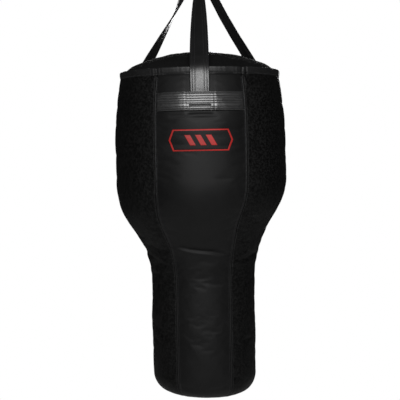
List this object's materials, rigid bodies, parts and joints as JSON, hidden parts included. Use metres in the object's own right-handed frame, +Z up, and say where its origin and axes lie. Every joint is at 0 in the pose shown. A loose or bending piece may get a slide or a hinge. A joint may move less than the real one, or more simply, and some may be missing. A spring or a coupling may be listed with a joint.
{
  "type": "heavy punching bag",
  "caption": "Hanging leather heavy bag with a wide upper drum tapering to a narrow lower drum, on flat straps, a D-ring, a snap hook and a ball-bearing swivel.",
  "frame": {"origin": "centre of the bore of the swivel's top eye, from which the bag hangs", "axes": "+Z up along the bag's axis; the front panel faces -Y; +X is to the right seen from the front"},
  "size_m": [0.472, 0.4645, 1.4102],
  "materials": {
    "smooth_leather": "semi-gloss, fine grain",
    "grained_leather": "satin, pebbled grain",
    "piping": "satin",
    "hem_leather": "satin",
    "red_vinyl": "semi-gloss",
    "band_leather": "glossy, smooth",
    "strap_leather": "semi-gloss, edge stitched",
    "cover_fabric": "matt woven",
    "zip_tape": "matt woven",
    "zip_metal": "satin",
    "foam": "open-cell foam",
    "textile": "compressed shredded textile",
    "bearing_steel": "polished",
    "zinc_steel": "bright zinc plated",
    "forged_steel": "zinc plated forging"
  },
  "bodies": {
    "hanger": {"hanger_eye": "forged_steel", "shank_nut": "zinc_steel", "shank_cotter": "zinc_steel", "race_lower": "bearing_steel"},
    "swivel": {"swivel_housing": "forged_steel", "swivel_clevis": "forged_steel", "clevis_pin": "zinc_steel", "clevis_cotter": "zinc_steel", "race_upper": "bearing_steel", "thrust_balls": "bearing_steel"},
    "hook": {"hook_body": "forged_steel", "gate_pin": "zinc_steel"},
    "gate": {"hook_gate": "zinc_steel", "gate_spring": "zinc_steel"},
    "slider": {"zip_slider": "zip_metal"},
    "pull": {"zip_pull": "zip_metal"},
    "bag": {"panel_front": "smooth_leather", "panel_front_left": "grained_leather", "panel_rear_left": "smooth_leather", "panel_rear": "grained_leather", "panel_rear_right": "smooth_leather", "panel_front_right": "grained_leather", "welt_front_left": "piping", "welt_left": "piping", "welt_rear_left": "piping", "welt_rear_right": "piping", "welt_right": "piping", "welt_front_right": "piping", "bottom_panel": "grained_leather", "bottom_welt": "piping", "rim_hem": "hem_leather", "front_patch": "red_vinyl", "band_front": "band_leather", "band_left": "band_leather", "band_right": "band_leather", "strap_front": "strap_leather", "strap_left": "strap_leather", "strap_right": "strap_leather", "strap_yoke": "strap_leather", "top_cover": "cover_fabric", "zip_tape_front": "zip_tape", "zip_tape_rear": "zip_tape", "zip_teeth": "zip_metal", "zip_stops": "zip_metal", "foam_upper": "foam", "foam_taper": "foam", "foam_neck": "foam", "foam_lower": "foam", "foam_base": "foam", "foam_top": "foam", "textile_filling": "textile", "d_ring": "forged_steel"}
  },
  "joints": [
    {"name": "swivel_spin", "type": "hinge", "parent": "hanger", "child": "swivel", "pos_m": [0, 0, 0], "axis": [0, 0, 1], "continuous": true},
    {"name": "hook_swing", "type": "hinge", "parent": "swivel", "child": "hook", "pos_m": [0, 0, -0.095], "axis": [-0.3746, 0.9272, 0], "range_deg": [-35, 35]},
    {"name": "bag_swing", "type": "hinge", "parent": "hook", "child": "bag", "pos_m": [0, 0, -0.174], "axis": [0.9272, 0.3746, 0], "range_deg": [-35, 35]},
    {"name": "gate_open", "type": "hinge", "parent": "hook", "child": "gate", "pos_m": [0.01483, 0.00599, -0.117], "axis": [-0.3746, 0.9272, 0], "range_deg": [0, 25], "stiffness_Nm_per_rad": 0.05, "springref_deg": -11.46},
    {"name": "zip_slide", "type": "slide", "parent": "bag", "child": "slider", "axis": [-1, 0, 0], "range_m": [0, 0.09]},
    {"name": "pull_flip", "type": "hinge", "parent": "slider", "child": "pull", "pos_m": [0.045, 0, -0.4711], "axis": [0, 1, 0], "range_deg": [0, 165]}
  ]
}
